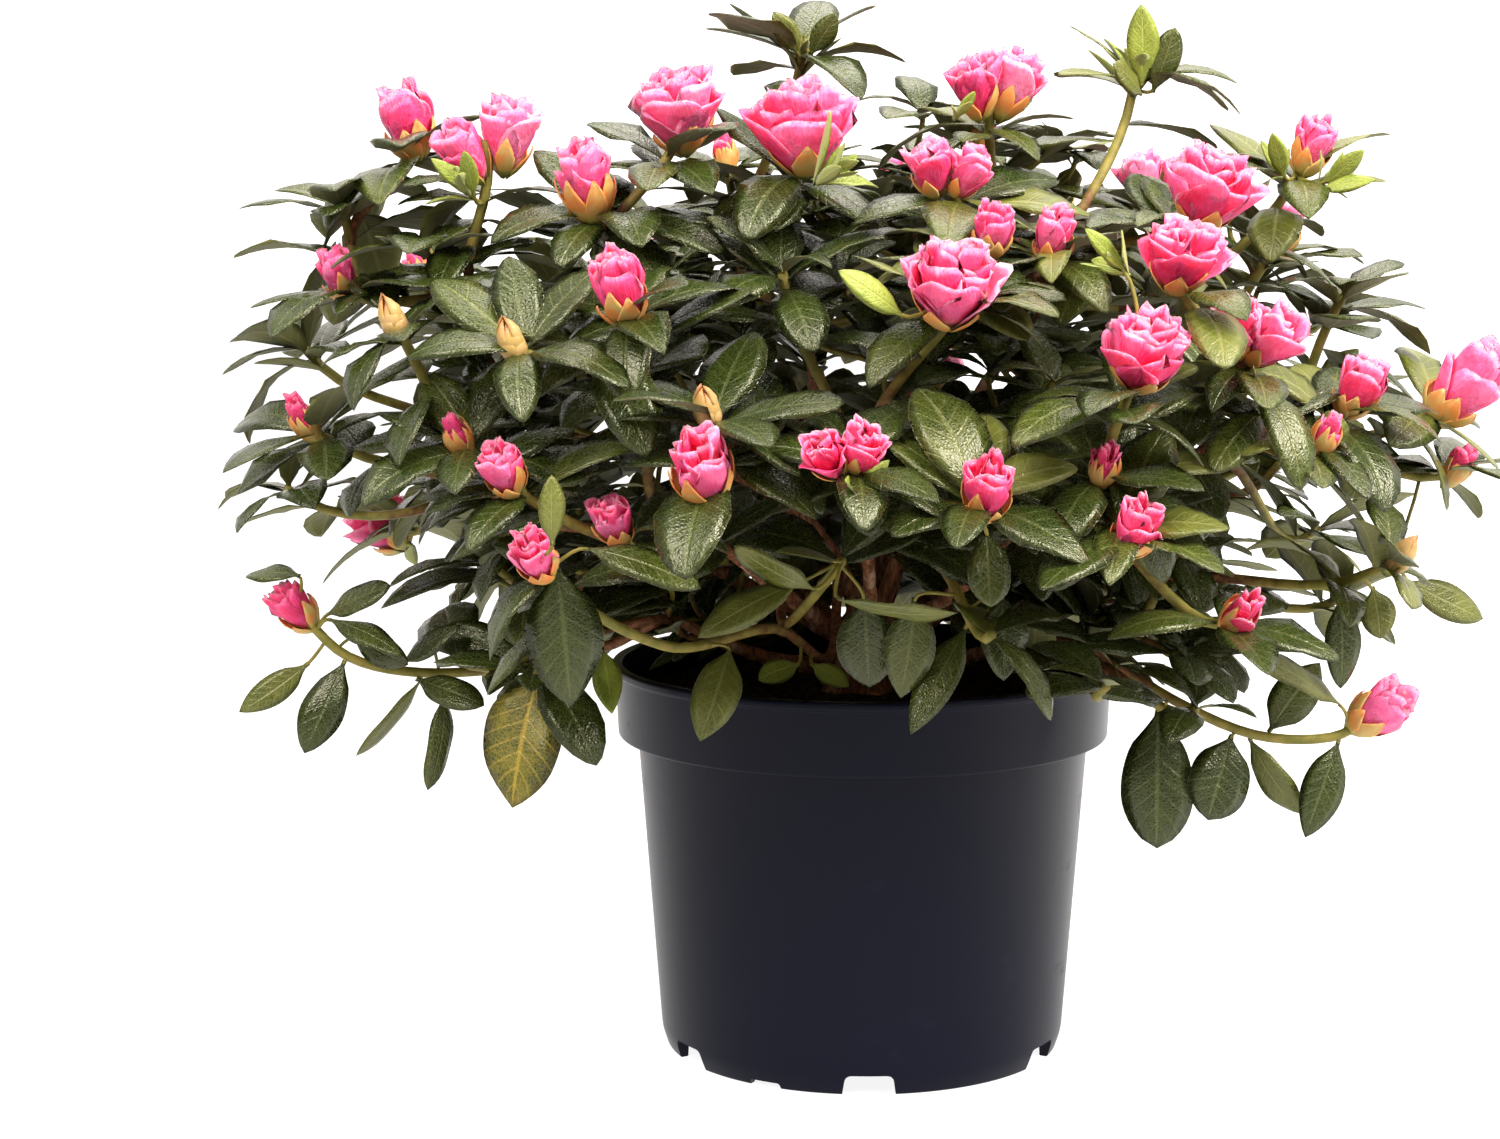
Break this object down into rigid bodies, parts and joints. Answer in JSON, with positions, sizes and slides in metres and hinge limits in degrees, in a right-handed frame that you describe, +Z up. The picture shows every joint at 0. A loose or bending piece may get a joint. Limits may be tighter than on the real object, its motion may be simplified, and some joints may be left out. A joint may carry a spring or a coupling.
{
  "type": "potted azalea shrub",
  "caption": "Evergreen azalea shrub with pink double blooms and buds above dark leaves, full on all sides, growing in a round tapered dark blue nursery pot with a deep collar and notched foot.",
  "frame": {"origin": "middle of the pot's underside, on the surface that the pot stands on", "axes": "+Z up along the pot's axis, -Y out of the side that faces the viewer, +X to that viewer's right, along the crown's greatest width"},
  "size_m": [0.4939, 0.4069, 0.3899],
  "materials": {
    "pot_plastic": "satin",
    "compost": "matte",
    "bark": "matte",
    "leaf_green": "satin"
  },
  "bodies": {
    "root": {"pot": "pot_plastic", "soil": "compost", "trunk": "bark", "bough_top": "bark", "bough_top_right": "bark", "bough_top_left": "bark", "bough_top_back": "bark", "bough_front": "bark", "bough_front_left": "bark", "bough_front_right": "bark", "bough_left": "bark", "bough_right": "bark", "bough_back_left": "bark", "bough_back": "bark", "bough_back_right": "bark", "bough_trail_left": "bark", "bough_trail_right": "bark", "foliage_top": "leaf_green", "foliage_top_right": "leaf_green", "foliage_top_left": "leaf_green", "foliage_top_back": "leaf_green", "foliage_front": "leaf_green", "foliage_front_left": "leaf_green", "foliage_front_right": "leaf_green", "foliage_left": "leaf_green", "foliage_right": "leaf_green", "foliage_back_left": "leaf_green", "foliage_back": "leaf_green", "foliage_back_right": "leaf_green", "foliage_trail_left": "leaf_green", "foliage_trail_right": "leaf_green"}
  },
  "joints": []
}
